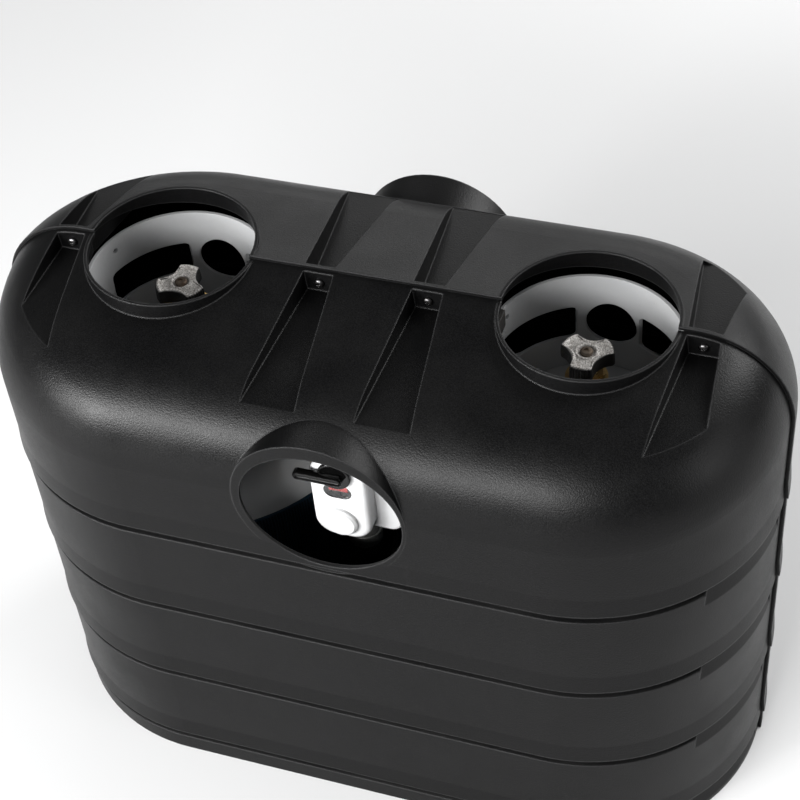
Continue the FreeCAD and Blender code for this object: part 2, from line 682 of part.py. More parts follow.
def handwheel(name, side, turn):
    """Three-lobed cast wheel on its spindle; the tongue below drives the seat plug."""
    x = "%d * tank_offset" % side
    owner = body(("0", "0", "wheel_low"))
    blank = sketch(owner, "XY_Plane")
    circle(blank, ("0", "0"), "wheel_radius")
    pad = owner.newObject("PartDesign::Pad", "pad")
    pad.Profile = blank
    pad.setExpression("Length", cells("wheel_height"))
    bite = sketch(owner, "XY_Plane")
    circle(bite, ("wheel_scoop_offset", "0"), "wheel_scoop_radius")
    scoop = owner.newObject("PartDesign::Pocket", "scoop")
    scoop.Profile = bite
    scoop.Type = "ThroughAll"
    scoop.Midplane = True
    doc.recompute()
    three = owner.newObject("PartDesign::PolarPattern", "three")
    three.Originals = [scoop]
    three.Axis = (bite, ["N_Axis"])
    three.Angle = 360
    three.Occurrences = 3
    owner.Tip = three
    soften(owner, "2.5", lambda edge: edge.BoundBox.ZLength < 1e-6)
    dish = turned([("0", "wheel_height - 2.5"), ("8", "wheel_height - 2.5"), ("10", "wheel_height + 1"),
                   ("0", "wheel_height + 1")], ("0", "0", "wheel_low"))
    bore = rod("spindle_radius - 0.5", "60", ("0", "0", "wheel_low - 5"))
    wheel = place(group([cut_all(owner, [dish, bore])]), (x, "0", "0"))
    wheel.Placement.Rotation = Rotation(Vector(0, 0, 1), turn)
    keep(wheel, name + "_handwheel")

    shaft_low = "plug_top + plug_lift + 0.6"
    shaft = turned([("0", shaft_low), ("spindle_radius", shaft_low), ("spindle_radius", "wheel_low - 0.2"),
                    ("spindle_radius - 0.6", "wheel_low - 0.2"),
                    ("spindle_radius - 0.6", "wheel_low + wheel_height - 6"),
                    ("0", "wheel_low + wheel_height - 6")], (x, "0", "0"))
    blade = box(("%s - 3" % x, "-0.8", "plug_top - 2.8"), ("6", "1.6", "plug_lift + 4"))
    keep(fuse([shaft, blade]), name + "_spindle")

    screw = turned([("0", "wheel_low + wheel_height - 6"), ("2.4", "wheel_low + wheel_height - 6"),
                    ("2.4", "wheel_low + wheel_height - 2.4"), ("5.2", "wheel_low + wheel_height - 2.4"),
                    ("5.2", "wheel_low + wheel_height - 0.6"), ("4.2", "wheel_low + wheel_height + 0.6"),
                    ("0", "wheel_low + wheel_height + 1")], (x, "0", "0"))
    socket = hexagon("2.2", "3", (x, "0", "wheel_low + wheel_height - 0.9"))
    keep(cut(screw, socket), name + "_wheel_screw")

    plug = turned([("0", "plug_low"), ("4.6", "plug_low"), ("5", "plug_low + 0.6"),
                   ("5", "plug_low + 10.8"), ("6.1", "plug_low + 11.6"), ("6.1", "plug_top"),
                   ("0", "plug_top")], (x, "0", "0"))
    slit = box(("%s - 3.6" % x, "-1.3", "plug_top - 6.2"), ("7.2", "2.6", "10"))
    keep(cut(plug, slit), name + "_seat_plug")


def float_gear(name, side):
    """Float housing with its dip tube, and the float that shuts the valve when full."""
    x = "%d * tank_offset" % side
    tube = pipe("3.2", "2.2", "46", ("%s + 6" % x, "-5", "boss_top - 92"))
    housing = turned([("4.4", "boss_top - 22.2"), ("4.4", "350"), ("10.5", "350"), ("10.5", "334"),
                      ("12", "334"), ("12", "boss_top - 24.2"), ("neck_radius - 0.6", "boss_top - 22.2")],
                     (x, "0", "0"))
    ear = box(("%s - 4" % x, "9", "pivot_height - 5"), ("8", "pivot_offset - 5", "10"))
    slot = box(("%s - 2" % x, "8", "pivot_height - 8"), ("4", "20", "24"))
    pin_way = rod("1.55", "20", ("%s - 10" % x, "pivot_offset", "pivot_height"), ALONG_RIGHT)
    keep(cut_all(fuse([housing, ear, tube]), [slot, pin_way]), name + "_float_housing")
    arm = box(("%s - 1.2" % x, "pivot_offset - 2.4", "pivot_height - float_reach + 18"),
              ("2.4", "4.8", "float_reach - 18"))
    eye = rod("4", "2.4", ("%s - 1.2" % x, "pivot_offset", "pivot_height"), ALONG_RIGHT)
    pin = rod("1.5", "8", ("%s - 4" % x, "pivot_offset", "pivot_height"), ALONG_RIGHT)
    keep(fuse([arm, eye, pin]), name + "_float_arm")
    bob = padded("XY_Plane", [("-14", "-10"), ("14", "-10"), ("14", "10"), ("-14", "10")], "36",
                 (x, "pivot_offset", "pivot_height - float_reach - 18"))
    keep(soften(bob, "3", lambda edge: True), name + "_float")


# ------------------------------------------------------------------ the rack

def rack():
    half_length = "tray_half_length"
    half_width = "tray_half_width"
    pan = box(("-%s" % half_length, "-%s" % half_width, "0"),
              ("2 * %s" % half_length, "2 * %s" % half_width, "tank_foot"))
    hollow = box(("tray_sheet - %s" % half_length, "tray_sheet - %s" % half_width, "-1"),
                 ("2 * (%s - tray_sheet)" % half_length, "2 * (%s - tray_sheet)" % half_width,
                  "tank_foot + 1 - tray_sheet"))
    holes = [rod("tray_bolt_radius", "30", ("%d * tray_slot_x / 2" % i, "%d * tray_slot_y / 2" % j, "-2"))
             for i in (-1, 1) for j in (-1, 1)]
    lightening = [rod("60", "30", ("%d * tank_offset" % side, "0", "-2")) for _, side in SIDES]
    holes.append(rod("rod_radius", "30", ("0", "0", "-2")))
    holes.append(box(("lever_x - hose_notch_half", "-1 - %s" % half_width, "-2"),
                     ("2 * hose_notch_half", "hose_notch_depth + 1", "30")))
    keep(cut_all(pan, [hollow] + holes + lightening), "base_tray")

    keep(turned([("0", "1"), ("rod_radius - 0.05", "1"), ("rod_radius - 0.05", "rod_top - 1"),
                 ("rod_radius - 1", "rod_top"), ("0", "rod_top")], ("0", "0", "0")), "centre_rod")
    low_nut = hexagon("9.2", "7", ("0", "0", "tank_foot + 0.05"))
    under_nut = hexagon("9.2", "7", ("0", "0", "tank_foot - tray_sheet - 7.05"))
    bracket_nut = hexagon("9.2", "6", ("0", "0", "bar_height - 9.2"))
    keep(group([cut(nut, rod("rod_radius", "rod_top", ("0", "0", "0")))
                for nut in (low_nut, under_nut, bracket_nut)]), "rod_nuts")

    lip = "collar_top - bar_height"
    bar = padded("XZ_Plane", [
        ("-bar_reach", "%s - 12" % lip), ("3.5 - bar_reach", "%s - 12" % lip),
        ("3.5 - bar_reach", "%s + 0.1" % lip),
        ("24 - bar_reach", "%s + 0.1" % lip), ("-34", "0"), ("34", "0"),
        ("bar_reach - 24", "%s + 0.1" % lip), ("bar_reach - 3.5", "%s + 0.1" % lip),
        ("bar_reach - 3.5", "%s - 12" % lip), ("bar_reach", "%s - 12" % lip),
        ("bar_reach", "%s + bar_sheet" % lip), ("bar_reach - 26", "%s + bar_sheet" % lip),
        ("32", "bar_sheet"), ("-32", "bar_sheet"), ("26 - bar_reach", "%s + bar_sheet" % lip),
        ("-bar_reach", "%s + bar_sheet" % lip)], "2 * bar_half_width", ("0", "0", "bar_height"), None, True)
    keep(cut(bar, rod("rod_radius + 0.5", "40", ("0", "0", "bar_height - 10"))), "hold_down_bar")

    top = "bar_height + bar_sheet"
    keep(pipe("12", "rod_radius", "2", ("0", "0", top)), "bar_washer")
    hub = turned([("0", "0"), ("9", "0"), ("7", "11"), ("0", "11")], ("0", "0", "%s + 2.3" % top))
    wings = [box((x, "-1.6", "%s + 5" % top), ("13", "3.2", "15")) for x in ("6.5", "-19.5")]
    keep(cut(fuse([hub] + wings), rod("rod_radius + 0.05", "60", ("0", "0", "bar_height"))), "wing_nut")


# ------------------------------------------------------------- the regulator

def rounded_block(left, right, low, high, depth, corner, y):
    """A block with round corners in front view, run forwards from one depth."""
    corners = [(left, low), (right, low), (right, high), (left, high)]
    return soften(padded("XZ_Plane", corners, depth, ("0", y, "0")), corner, upright)


def regulator():
    front_depth = SIZE["regulator_face"] - SIZE["regulator_joint"]
    front = rounded_block("regulator_left", "regulator_right", "regulator_low", "regulator_top",
                          "regulator_face - regulator_joint", "18", "-regulator_joint")
    front = soften(front, "5", lambda edge: edge.BoundBox.YMax < 1e-6 - front_depth)
    side_depth = SIZE["shoulder_face"] - SIZE["regulator_joint"]
    side = rounded_block("regulator_left + 10", "shoulder_right", "shoulder_low", "regulator_top - 3",
                         "shoulder_face - regulator_joint", "12", "-regulator_joint")
    side = soften(side, "4", lambda edge: edge.BoundBox.YMax < 1e-6 - side_depth)
    hollow_front = rounded_block("regulator_left + 2.5", "regulator_right - 2.5", "regulator_low + 3",
                                 "regulator_top - 3", "regulator_face - regulator_joint - 3", "15",
                                 "-regulator_joint")
    hollow_side = rounded_block("regulator_left + 14", "shoulder_right - 3", "shoulder_low + 3",
                                "regulator_top - 6", "shoulder_face - regulator_joint - 3", "9",
                                "-regulator_joint")
    lever_way = rod("5.3", "30", ("lever_x", "-regulator_joint - 5", "lever_height"), ALONG_FRONT)
    cap_way = rod("cap_radius - 2", "30", ("lever_x", "-regulator_joint - 5", "cap_height"), ALONG_FRONT)
    lens_way = rounded_slot("24", "16", "7.9", "35", ("lever_x", "-regulator_joint", "lever_height - 29.5"))
    shell = fuse([front, side])
    keep(cut_all(shell, [hollow_front, hollow_side, lever_way, cap_way, lens_way]), "regulator_cover")

    back_box = rounded_block("-24", "shoulder_right - 3", "regulator_low + 6", "regulator_top - 6",
                             "regulator_joint - regulator_back - 0.1", "10", "-regulator_back")
    outlet_stub = rod("outlet_fitting_radius - 1", "8 + regulator_low - outlet_end",
                      ("lever_x", "-90", "outlet_end + 12"))
    cavity = rod("19", "16", ("lever_x", "-89", "cap_height + 6"), ALONG_FRONT)
    outlet_bore = rod("9", "regulator_low - outlet_end", ("lever_x", "-90", "outlet_end + 11"))
    ports = rod("5", "90", ("-30", "-90", "382"), ALONG_RIGHT)
    cam_way = rod("5.4", "13", ("lever_x", "-92", "lever_height"), ALONG_FRONT)
    keep(cut_all(fuse([back_box, outlet_stub]), [cavity, outlet_bore, cam_way, ports]), "regulator_body")

    inlets = []
    for x, turn in (("-24.1", ALONG_LEFT), ("shoulder_right - 2.9", ALONG_RIGHT)):
        hex_part = hexagon("10.5", "8", (x, "-90", "382"), turn)
        flare = turned([("3", "0"), ("7.6", "0"), ("7.6", "16"), ("5", "20"), ("3", "20")],
                       (x, "-90", "382"), turn)
        inlets.append(fuse([cut(hex_part, rod("3", "8", (x, "-90", "382"), turn)), flare]))
    keep(group(inlets), "regulator_inlets")

    keep(pipe("outlet_fitting_radius", "8", "11.9", ("lever_x", "-90", "outlet_end")), "regulator_outlet")
    keep(turned([("0", "0"), ("18.6", "0"), ("18.6", "1.4"), ("0", "1.4")],
                ("lever_x", "-89.2", "cap_height + 6"), ALONG_FRONT), "regulator_diaphragm")
    keep(turned([("0", "0"), ("12", "0"), ("12", "1.6"), ("6", "1.6"), ("6", "4"), ("0", "4")],
                ("lever_x", "-90.8", "cap_height + 6"), ALONG_FRONT), "diaphragm_plate")
    keep(regulator_spring(), "regulator_spring")
    keep(turned([("0", "0"), ("10", "0"), ("10", "5"), ("cap_radius - 2.2", "5"), ("cap_radius - 2.2", "10.6"),
                 ("cap_radius", "10.6"), ("cap_radius", "13"), ("cap_radius - 2", "15"), ("0", "15.6")],
                ("lever_x", "-123.6", "cap_height"), ALONG_FRONT), "adjusting_cap")
    keep(rounded_slot("23.6", "15.6", "7.7", "2.4", ("lever_x", "-131.4", "lever_height - 29.3")),
         "indicator_lens")
    keep(box(("lever_x - 8", "-130.9", "lever_height - 22.5"), ("16", "1.4", "7")), "indicator_flag")
    lever_arm()

    bracket()


def regulator_spring():
    """Loading spring between the diaphragm plate and the adjusting cap."""
    wire = 0.9
    helix = Part.makeHelix(4.4, 26.4, 8.2)
    section = Part.Wire(Part.makeCircle(wire, Vector(8.2, 0, 0), Vector(0, 1, 0)))
    coil = Part.Wire(helix).makePipeShell([section], True, True)
    spring = doc.addObject("Part::Feature", "spring")
    spring.Shape = coil
    return place(spring, ("lever_x", "-96", "cap_height"), ALONG_FRONT)


def lever_arm():
    """Changeover lever, at rest towards the left cylinder, on its cam shaft."""
    arm = padded("XZ_Plane", [("-lever_reach", "-4"), ("9", "-4"), ("9", "4"), ("-lever_reach", "4")],
                 "6", ("lever_x", "-regulator_face - 4.1", "lever_height"))
    arm = soften(arm, "3.8", upright)
    hub = turned([("0", "0"), ("14", "0"), ("14", "2.6"), ("13", "3.7"), ("0", "3.7")],
                 ("lever_x", "-regulator_face - 0.5", "lever_height"), ALONG_FRONT)
    bore = rod("3", "6", ("lever_x", "1 - regulator_face", "lever_height"), ALONG_FRONT)
    keep(cut(fuse([arm, hub]), bore), "changeover_lever")
    keep(turned([("0", "0"), ("5", "0"), ("5", "33"), ("3", "33"), ("3", "40.4"), ("0", "40.4")],
                ("lever_x", "-98.4", "lever_height"), ALONG_FRONT), "changeover_shaft")


def bracket():
    """Sheet bracket from the centre rod down to the back of the regulator."""
    plate = box(("-15", "-76", "bar_height - 3.1"), ("30", "94", "3"))
    drop = box(("-15", "-76", "348"), ("30", "3", "bar_height - 348 - 1"))
    hole = rod("rod_radius + 0.3", "20", ("0", "0", "bar_height - 12"))
    keep(cut(fuse([plate, drop]), hole), "regulator_bracket")


def build():
    cover()
    seam_fasteners()
    rack()
    for (name, side), turn in zip(SIDES, (30, -30)):
        tank_half(name + "_upper_head", side, True)
        tank_half(name + "_lower_head", side, False)
        net_sleeve(name, side)
        foot_ring(name, side)
        collar(name, side)
        valve(name, side)
        handwheel(name, side, turn)
        float_gear(name, side)
    regulator()


def check_and_write():
    doc.recompute()
    for obj in doc.Objects:
        if "Invalid" in obj.State or "Error" in obj.State:
            raise RuntimeError("%s (%s) did not recompute" % (obj.Name, obj.Label))
    for node in nodes:
        if node.Shape.isNull() or not node.Shape.isValid() or not node.Shape.Solids:
            raise RuntimeError("%s has no valid solid" % node.Label)
    for node in nodes:
        node.Shape.exportStep("parts/%s.step" % node.Label)


build()
check_and_write()
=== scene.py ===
import json
import math

import bpy
from mathutils import Matrix, Vector


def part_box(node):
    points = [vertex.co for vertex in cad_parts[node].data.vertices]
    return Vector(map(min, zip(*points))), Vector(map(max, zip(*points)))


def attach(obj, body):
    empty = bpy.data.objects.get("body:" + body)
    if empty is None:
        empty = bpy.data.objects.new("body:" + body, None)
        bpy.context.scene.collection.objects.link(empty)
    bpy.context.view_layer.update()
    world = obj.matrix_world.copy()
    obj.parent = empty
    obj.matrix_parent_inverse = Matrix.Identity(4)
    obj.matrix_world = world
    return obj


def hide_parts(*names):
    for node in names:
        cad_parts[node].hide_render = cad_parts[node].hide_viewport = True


# Looks of the gas cylinder cover and rack. Metres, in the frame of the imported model:
# +Z up, -Y the front with the regulator window, the floor at z = 0.

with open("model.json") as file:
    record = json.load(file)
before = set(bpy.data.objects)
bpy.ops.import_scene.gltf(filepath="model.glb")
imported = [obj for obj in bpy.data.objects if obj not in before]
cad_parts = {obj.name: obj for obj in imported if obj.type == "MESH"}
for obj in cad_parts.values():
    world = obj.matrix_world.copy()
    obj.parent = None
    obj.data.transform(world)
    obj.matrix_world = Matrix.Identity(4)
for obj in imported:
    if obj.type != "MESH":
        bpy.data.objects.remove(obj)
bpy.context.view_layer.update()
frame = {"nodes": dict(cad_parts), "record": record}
NODES = frame["nodes"]
SIDES = ("left", "right")
MM = 0.001


# ------------------------------------------------------------ camera and light

# Degrees, metres, and millimetres for the lens.
CAMERA_AZIMUTH = 22.494
CAMERA_ELEVATION = 45.685
CAMERA_ROLL = -6.065
CAMERA_DISTANCE = 1.6026
CAMERA_TARGET = Vector((0.0119, 0.0, 0.3631))
CAMERA_LENS = 84.28


def add_camera():
    azimuth = math.radians(CAMERA_AZIMUTH)
    elevation = math.radians(CAMERA_ELEVATION)
    roll = math.radians(CAMERA_ROLL)
    back = Vector((math.sin(azimuth) * math.cos(elevation), -math.cos(azimuth) * math.cos(elevation),
                   math.sin(elevation)))
    right = Vector((math.cos(azimuth), math.sin(azimuth), 0.0))
    up = back.cross(right)
    side = math.cos(roll) * right + math.sin(roll) * up
    top = -math.sin(roll) * right + math.cos(roll) * up
    turn = Matrix((side, top, back)).transposed().to_4x4()
    data = bpy.data.cameras.new("camera")
    data.lens = CAMERA_LENS
    data.sensor_width = 36.0
    data.clip_end = 50.0
    camera = bpy.data.objects.new("camera", data)
    camera.matrix_world = Matrix.Translation(CAMERA_TARGET + back * CAMERA_DISTANCE) @ turn
    bpy.context.scene.collection.objects.link(camera)
    bpy.context.scene.camera = camera


def add_softbox(name, place, aim, width, height, power):
    """A rectangular soft light aimed at a point, with its power in watts."""
    data = bpy.data.lights.new(name, "AREA")
    data.shape = "RECTANGLE"
    data.size = width
    data.size_y = height
    data.energy = power
    lamp = bpy.data.objects.new(name, data)
    lamp.location = place
    lamp.rotation_euler = (Vector(aim) - Vector(place)).to_track_quat("-Z", "Y").to_euler()
    bpy.context.scene.collection.objects.link(lamp)


def add_studio():
    """Two lights for the front shoulder, one each for the right, the back and the floor behind."""
    middle = (0.0, 0.0, 0.35)
    add_softbox("front_softbox", (-0.65, -2.5, 1.65), middle, 1.9, 0.6, 92)
    add_softbox("right_softbox", (2.4, -0.6, 1.1), middle, 1.0, 1.4, 12)
    add_softbox("left_softbox", (-1.5, -1.75, 1.05), (-0.2, -0.15, 0.44), 1.0, 0.5, 62)
    add_softbox("back_softbox", (-0.3, 3.0, 1.5), middle, 3.2, 1.3, 24)
    add_softbox("floor_softbox", (2.3, 2.3, 2.4), (1.5, 1.5, 0.0), 2.2, 2.2, 130)
    world = bpy.data.worlds.new("studio")
    world.use_nodes = True
    world.node_tree.nodes["Background"].inputs["Color"].default_value = (0.95, 0.97, 1.0, 1.0)
    world.node_tree.nodes["Background"].inputs["Strength"].default_value = 0.14
    bpy.context.scene.world = world
    bpy.context.scene.view_settings.view_transform = "Standard"


# ------------------------------------------------------------------- materials

class Finish:
    """A node material in the making. Textures use the piece's own place, in metres."""

    def __init__(self, name, color, roughness, metallic=0.0, **sockets):
        self.material = bpy.data.materials.new(name)
        self.material.use_nodes = True
        self.tree = self.material.node_tree
        self.shader = self.tree.nodes["Principled BSDF"]
        self.shader.inputs["Base Color"].default_value = (*color, 1.0)
        self.shader.inputs["Roughness"].default_value = roughness
        self.shader.inputs["Metallic"].default_value = metallic
        for socket, value in sockets.items():
            self.shader.inputs[socket.replace("_", " ")].default_value = value
        self.material.diffuse_color = (*color, 1.0)
        self.place = self.node("ShaderNodeTexCoord").outputs["Object"]
        self.normal = None

    def node(self, kind, **inputs):
        made = self.tree.nodes.new(kind)
        for name, value in inputs.items():
            self.feed(made.inputs[name.replace("_", " ")], value)
        return made

    def feed(self, socket, value):
        if isinstance(value, bpy.types.NodeSocket):
            self.tree.links.new(value, socket)
        else:
            socket.default_value = value

    def stretched(self, stretch):
        """The piece's own place, stretched along its axes."""
        return self.node("ShaderNodeMapping", Vector=self.place, Scale=stretch).outputs["Vector"]

    def noise(self, scale, detail=3.0, rough=0.55, at=None):
        made = self.node("ShaderNodeTexNoise", Vector=at or self.place, Scale=scale, Detail=detail,
                         Roughness=rough)
        return made.outputs["Fac"]

    def cells(self, scale):
        return self.node("ShaderNodeTexVoronoi", Vector=self.place, Scale=scale).outputs["Distance"]

    def span(self, factor, low, high, to_low=0.0, to_high=1.0):
        """A factor remapped from one range to another, clamped."""
        made = self.node("ShaderNodeMapRange", Value=factor)
        made.inputs["From Min"].default_value = low
        made.inputs["From Max"].default_value = high
        made.inputs["To Min"].default_value = to_low
        made.inputs["To Max"].default_value = to_high
        return made.outputs["Result"]

    def math(self, operation, first, second=0.0):
        made = self.tree.nodes.new("ShaderNodeMath")
        made.operation = operation
        self.feed(made.inputs[0], first)
        self.feed(made.inputs[1], second)
        return made.outputs["Value"]

    def upward(self):
        """How far the surface faces up."""
        plain = self.tree.nodes.new("ShaderNodeNewGeometry").outputs["Normal"]
        return self.node("ShaderNodeSeparateXYZ", Vector=plain).outputs["Z"]

    def mixed(self, factor, first, second):
        made = self.tree.nodes.new("ShaderNodeMix")
        made.data_type = "RGBA"
        for name, value in (("Factor_Float", factor), ("A_Color", first), ("B_Color", second)):
            socket = [s for s in made.inputs if s.identifier == name][0]
            if isinstance(value, tuple):
                value = (*value, 1.0)
            self.feed(socket, value)
        return [s for s in made.outputs if s.identifier == "Result_Color"][0]

    def color(self, value):
        self.feed(self.shader.inputs["Base Color"], value)
        return self

    def roughness(self, value):
        self.feed(self.shader.inputs["Roughness"], value)
        return self

    def rounded(self, radius):
        """Rounds sharp edges in the shading, and keeps where they are."""
        made = self.node("ShaderNodeBevel", Radius=radius)
        made.samples = 4
        self.normal = made.outputs["Normal"]
        return self

    def edges(self, low, high):
        """How much of a rounded edge is here, from the rounded and the plain normal."""
        plain = self.tree.nodes.new("ShaderNodeNewGeometry").outputs["Normal"]
        compare = self.tree.nodes.new("ShaderNodeVectorMath")
        compare.operation = "DOT_PRODUCT"
        self.feed(compare.inputs[0], self.normal)
        self.feed(compare.inputs[1], plain)
        return self.span(compare.outputs["Value"], high, low)

    def bump(self, height, distance, strength=1.0):
        made = self.node("ShaderNodeBump", Height=height, Distance=distance, Strength=strength)
        if self.normal:
            self.feed(made.inputs["Normal"], self.normal)
        self.normal = made.outputs["Normal"]
        return self

    def done(self):
        if self.normal:
            self.feed(self.shader.inputs["Normal"], self.normal)
        return self.material


def cover_plastic():
    """Black polyethylene with a fine pebbled skin, a little dust on top, and rounded edges painted lighter:
    partly edge wear, partly a painted highlight.
    """
    made = Finish("cover_plastic", (0.0022, 0.0022, 0.0023), 0.36, Specular_IOR_Level=0.2)
    made.rounded(2.0 * MM)
    wear_and_painted_highlight = made.edges(0.75, 0.995)
    cloudy = made.noise(14.0, 4.0)
    speckle = made.span(made.noise(900.0, 2.0, 0.7), 0.36, 0.66)
    scuffs = made.span(made.noise(60.0, 8.0, 0.7, made.stretched((1.0, 0.25, 0.6))), 0.64, 0.76)
    lying = made.span(made.upward(), 0.2, 1.0, 0.25, 1.0)
    dust = made.math("MULTIPLY", lying, made.span(cloudy, 0.35, 0.75))
    shade = made.mixed(speckle, (0.0012, 0.0012, 0.0013), (0.0042, 0.0042, 0.0044))
    shade = made.mixed(made.math("MULTIPLY", dust, 0.4), shade, (0.009, 0.0088, 0.0085))
    shade = made.mixed(made.math("MULTIPLY", scuffs, 0.3), shade, (0.02, 0.02, 0.02))
    # Rounded edges painted lighter: partly edge wear, partly a painted highlight along rims and groove lips.
    shade = made.mixed(made.math("MULTIPLY", wear_and_painted_highlight, 0.8), shade, (0.06, 0.06, 0.061))
    made.color(shade)
    duller_walls = made.span(made.upward(), 0.05, 0.5, 0.13, 0.2)
    made.feed(made.shader.inputs["Specular IOR Level"], duller_walls)
    skin_gloss = made.span(cloudy, 0.3, 0.7, 0.29, 0.4)
    made.roughness(made.math("ADD", skin_gloss, made.math("MULTIPLY", speckle, 0.1)))
    made.bump(made.noise(8.0, 2.0), 1.5 * MM, 0.2)
    made.bump(made.noise(780.0, 1.0, 0.6), 0.3 * MM, 0.6)
    return made.done()


def cylinder_paint():
    """Off-white baked enamel on deep-drawn steel, with orange peel, handling marks and grime."""
    made = Finish("cylinder_paint", (0.44, 0.445, 0.445), 0.36)
    made.rounded(0.8 * MM)
    grime = made.span(made.noise(22.0, 6.0, 0.65), 0.45, 0.8)
    marks = made.span(made.noise(90.0, 8.0, 0.75, made.stretched((1.0, 1.0, 0.2))), 0.66, 0.74)
    specks = made.span(made.cells(160.0), 0.05, 0.02)
    shade = made.mixed(made.math("MULTIPLY", grime, 0.3), (0.45, 0.455, 0.46), (0.33, 0.325, 0.31))
    shade = made.mixed(made.math("MULTIPLY", marks, 0.45), shade, (0.2, 0.195, 0.185))
    shade = made.mixed(made.math("MULTIPLY", specks, made.span(grime, 0.2, 0.6)), shade, (0.16, 0.08, 0.04))
    made.color(shade)
    made.roughness(made.span(grime, 0.0, 1.0, 0.28, 0.5))
    made.bump(made.noise(260.0, 2.0), 0.25 * MM, 0.5)
    return made.done()


def cast_aluminium():
    """Sand-cast metal: tops rubbed bright and full of dark pits, sides still black; the black sides, set by
    how far the surface faces up, are partly dark as-cast metal and partly painted shade.
    """
    made = Finish("cast_aluminium", (0.6, 0.58, 0.55), 0.5, 0.2)
    made.rounded(0.4 * MM)
    top = made.span(made.upward(), 0.45, 0.8)
    pits = made.span(made.noise(800.0, 5.0, 0.75), 0.38, 0.54)
    grime = made.span(made.noise(280.0, 4.0, 0.6), 0.5, 0.64)
    shade = made.mixed(pits, (0.13, 0.115, 0.1), (0.86, 0.83, 0.79))
    shade = made.mixed(made.math("MULTIPLY", grime, 0.55), shade, (0.2, 0.17, 0.14))
    # Surfaces facing away from up are painted near-black: partly dark as-cast sides, partly painted shade.
    made.color(made.mixed(top, (0.022, 0.021, 0.02), shade))
    made.roughness(made.span(pits, 0.0, 1.0, 0.7, 0.45))
    made.bump(made.noise(800.0, 5.0, 0.75), 0.4 * MM, 0.8)
    return made.done()


def brass():
    made = Finish("brass", (0.62, 0.42, 0.16), 0.32, 1.0)
    made.rounded(0.4 * MM)
    tarnish = made.span(made.noise(120.0, 5.0, 0.65), 0.4, 0.72)
    shade = made.mixed(tarnish, (0.72, 0.5, 0.2), (0.33, 0.2, 0.09))
    made.color(shade)
    made.roughness(made.span(tarnish, 0.0, 1.0, 0.24, 0.5))
    made.bump(made.noise(1500.0, 2.0, 0.5, made.stretched((1.0, 1.0, 0.15))), 0.06 * MM, 0.5)
    return made.done()


def steel(name, bright, dull, roughness):
    """Plated steel with fine drawn lines and dull patches."""
    made = Finish(name, bright, roughness, 1.0)
    made.rounded(0.4 * MM)
    patches = made.span(made.noise(150.0, 6.0, 0.7), 0.4, 0.7)
    made.color(made.mixed(patches, bright, dull))
    made.roughness(made.span(patches, 0.0, 1.0, roughness, roughness + 0.22))
    made.bump(made.noise(2200.0, 2.0, 0.5, made.stretched((0.12, 1.0, 1.0))), 0.05 * MM, 0.5)
    return made.done()


def powder_coat():
    """Black powder coat on the rack, with chips down to the steel."""
    made = Finish("powder_coat", (0.018, 0.018, 0.018), 0.45)
    made.rounded(0.8 * MM)
    chips = made.math("MULTIPLY", made.span(made.noise(210.0, 6.0, 0.75), 0.6, 0.66), made.edges(0.6, 0.98))
    grime = made.span(made.noise(18.0, 5.0, 0.6), 0.4, 0.75, 0.0, 0.5)
    shade = made.mixed(grime, (0.018, 0.018, 0.018), (0.05, 0.045, 0.04))
    made.color(made.mixed(chips, shade, (0.32, 0.3, 0.28)))
    made.roughness(made.span(grime, 0.0, 0.5, 0.4, 0.62))
    made.bump(made.noise(520.0, 3.0), 0.2 * MM, 0.6)
    return made.done()


def moulded(name, color, shadow, roughness, grain=700.0, depth=0.05, **sockets):
    """Injection-moulded plastic with a fine skin and a little handling grime."""
    made = Finish(name, color, roughness, **sockets)
    made.rounded(0.6 * MM)
    grime = made.span(made.noise(55.0, 5.0, 0.65), 0.42, 0.8)
    made.color(made.mixed(made.math("MULTIPLY", grime, 0.5), color, shadow))
    made.roughness(made.span(grime, 0.0, 1.0, roughness, min(1.0, roughness + 0.14)))
    made.bump(made.noise(grain, 2.0), depth * MM, 0.5)
    return made.done()


def foam():
    made = Finish("float_foam", (0.05, 0.05, 0.055), 0.85)
    made.color(made.mixed(made.span(made.cells(1100.0), 0.1, 0.6), (0.02, 0.02, 0.022), (0.075, 0.075, 0.08)))
    made.bump(made.cells(1100.0), 0.3 * MM, 0.8)
    return made.done()


def clear_lens():
    made = Finish("clear_lens", (0.92, 0.95, 0.95), 0.05, IOR=1.49, Transmission_Weight=1.0)
    made.roughness(made.span(made.noise(900.0, 6.0, 0.7), 0.45, 0.8, 0.03, 0.18))
    made.bump(made.noise(160.0, 2.0), 0.05 * MM, 0.4)
    return made.done()


